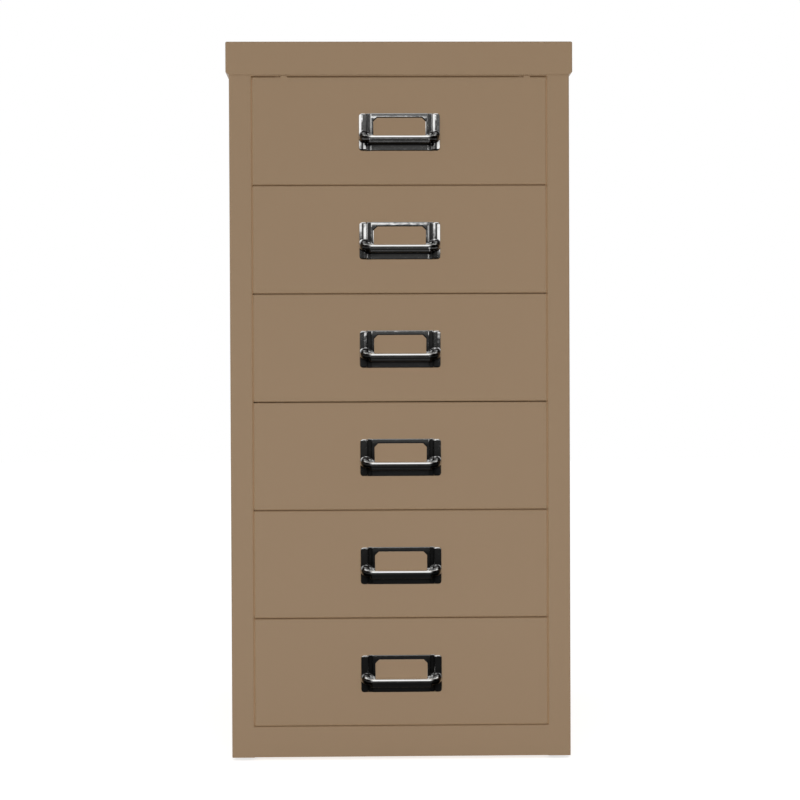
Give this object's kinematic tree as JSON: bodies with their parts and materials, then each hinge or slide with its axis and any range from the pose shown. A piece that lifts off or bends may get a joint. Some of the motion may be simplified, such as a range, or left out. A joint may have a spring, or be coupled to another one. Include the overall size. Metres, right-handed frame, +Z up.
{
  "type": "drawer cabinet",
  "caption": "Small free-standing sheet-steel cabinet with a stack of equal shallow drawers, overhanging lid, plinth and card-frame pulls.",
  "frame": {"origin": "centre of the object's footprint on the floor, under the rubber feet", "axes": "+Z up; the drawer fronts face -Y and the drawers open along -Y; +X is to the right as seen from the front"},
  "size_m": [0.2844, 0.3908, 0.59],
  "materials": {
    "case_paint": "semi-matt brown stoved enamel",
    "runner_steel": "semi-matt brown stoved enamel, worn where the drawers slide",
    "bright_metal": "bright polished plating",
    "zinc_plated": "zinc plated",
    "nylon": "natural moulded nylon",
    "rubber": "matt black"
  },
  "bodies": {
    "carcass": {"lid": "case_paint", "side_left": "case_paint", "side_right": "case_paint", "back_panel": "case_paint", "base_pan": "case_paint", "plinth": "case_paint", "top_rail": "case_paint", "feet": "rubber", "runner_1_left": "runner_steel", "runner_1_right": "runner_steel", "runner_2_left": "runner_steel", "runner_2_right": "runner_steel", "runner_3_left": "runner_steel", "runner_3_right": "runner_steel", "runner_4_left": "runner_steel", "runner_4_right": "runner_steel", "runner_5_left": "runner_steel", "runner_5_right": "runner_steel", "runner_6_left": "runner_steel", "runner_6_right": "runner_steel"},
    "drawer_1": {"drawer_1_front": "case_paint", "drawer_1_tray": "case_paint", "drawer_1_glides": "nylon", "drawer_1_handle": "bright_metal", "drawer_1_screws": "zinc_plated"},
    "drawer_2": {"drawer_2_front": "case_paint", "drawer_2_tray": "case_paint", "drawer_2_glides": "nylon", "drawer_2_handle": "bright_metal", "drawer_2_screws": "zinc_plated"},
    "drawer_3": {"drawer_3_front": "case_paint", "drawer_3_tray": "case_paint", "drawer_3_glides": "nylon", "drawer_3_handle": "bright_metal", "drawer_3_screws": "zinc_plated"},
    "drawer_4": {"drawer_4_front": "case_paint", "drawer_4_tray": "case_paint", "drawer_4_glides": "nylon", "drawer_4_handle": "bright_metal", "drawer_4_screws": "zinc_plated"},
    "drawer_5": {"drawer_5_front": "case_paint", "drawer_5_tray": "case_paint", "drawer_5_glides": "nylon", "drawer_5_handle": "bright_metal", "drawer_5_screws": "zinc_plated"},
    "drawer_6": {"drawer_6_front": "case_paint", "drawer_6_tray": "case_paint", "drawer_6_glides": "nylon", "drawer_6_handle": "bright_metal", "drawer_6_screws": "zinc_plated"}
  },
  "joints": [
    {"name": "drawer_1_slide", "type": "slide", "parent": "carcass", "child": "drawer_1", "axis": [0, -1, 0], "range_m": [0, 0.2985]},
    {"name": "drawer_2_slide", "type": "slide", "parent": "carcass", "child": "drawer_2", "axis": [0, -1, 0], "range_m": [0, 0.2985]},
    {"name": "drawer_3_slide", "type": "slide", "parent": "carcass", "child": "drawer_3", "axis": [0, -1, 0], "range_m": [0, 0.2985]},
    {"name": "drawer_4_slide", "type": "slide", "parent": "carcass", "child": "drawer_4", "axis": [0, -1, 0], "range_m": [0, 0.2985]},
    {"name": "drawer_5_slide", "type": "slide", "parent": "carcass", "child": "drawer_5", "axis": [0, -1, 0], "range_m": [0, 0.2985]},
    {"name": "drawer_6_slide", "type": "slide", "parent": "carcass", "child": "drawer_6", "axis": [0, -1, 0], "range_m": [0, 0.2985]}
  ]
}
